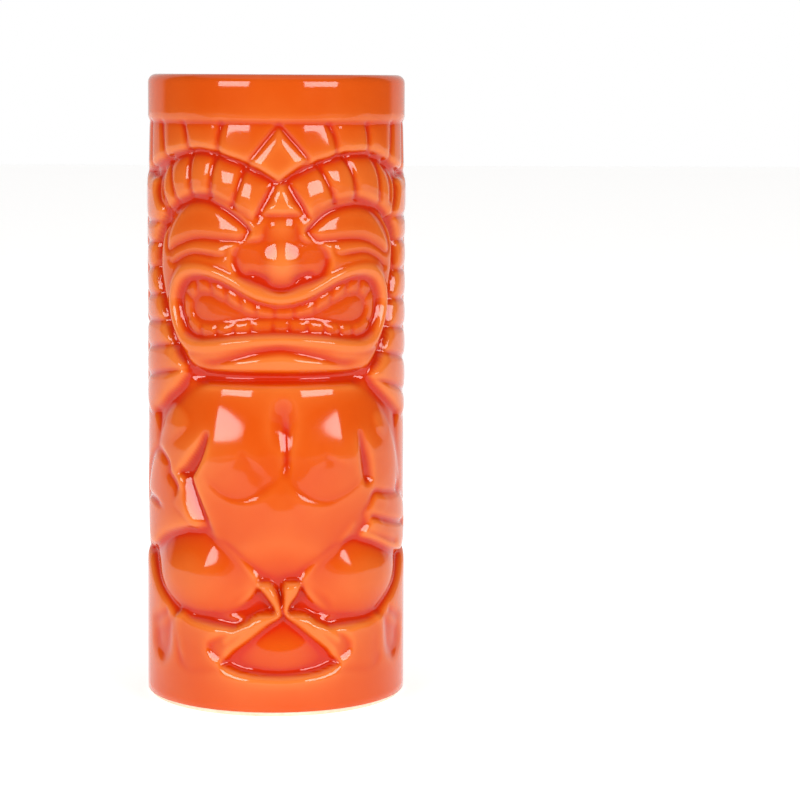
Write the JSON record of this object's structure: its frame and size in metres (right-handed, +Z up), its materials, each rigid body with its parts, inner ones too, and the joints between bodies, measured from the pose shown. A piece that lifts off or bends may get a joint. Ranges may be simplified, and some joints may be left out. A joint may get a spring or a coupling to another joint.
{
  "type": "tiki mug",
  "caption": "Tall straight-sided glazed ceramic mug with a squatting tiki figure in low relief round its wall, open at the top to hold a drink.",
  "frame": {"origin": "centre of the foot, on the surface the mug stands on", "axes": "+Z up along the mug's axis, -Y out of the face, +X to the right of someone looking at the face"},
  "size_m": [0.065, 0.065, 0.156],
  "materials": {
    "fired_clay": "matte",
    "orange_glaze": "gloss",
    "liner_glaze": "gloss"
  },
  "bodies": {
    "root": {"clay_body": "fired_clay", "outer_glaze": "orange_glaze", "inner_glaze": "liner_glaze"}
  },
  "joints": []
}
